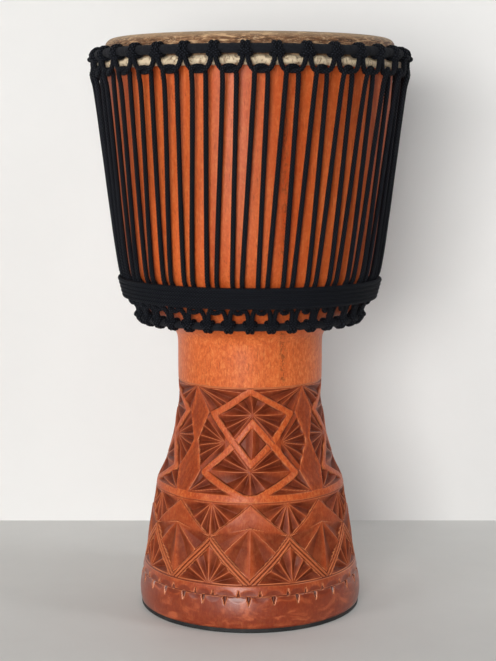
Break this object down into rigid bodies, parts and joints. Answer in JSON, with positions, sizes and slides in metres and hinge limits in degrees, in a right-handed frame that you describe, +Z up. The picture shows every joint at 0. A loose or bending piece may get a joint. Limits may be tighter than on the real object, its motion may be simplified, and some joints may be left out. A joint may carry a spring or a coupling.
{
  "type": "djembe",
  "caption": "Rope-tuned goblet hand drum: carved hardwood shell, goatskin head, cloth-wrapped steel rings, hitched rope loops, zigzag tension rope and a wound rope band.",
  "frame": {"origin": "centre of the foot's underside, on the floor", "axes": "+Z up along the drum's axis, -Y is the front"},
  "size_m": [0.345, 0.3452, 0.605],
  "materials": {
    "wood": "oiled, satin",
    "goatskin": "raw shaved goatskin",
    "cloth": "black cotton strip, wound",
    "rope": "black braided polyester",
    "steel": "bare round rod",
    "rubber": "matte"
  },
  "bodies": {
    "root": {"shell": "wood", "foot_rubber": "rubber", "drum_head": "goatskin", "flesh_hoop": "steel", "crown_ring": "steel", "crown_ring_wrap": "cloth", "crown_loops": "rope", "bottom_ring": "steel", "bottom_ring_wrap": "cloth", "bottom_loops": "rope", "vertical_rope": "rope", "rope_band": "rope"}
  },
  "joints": []
}
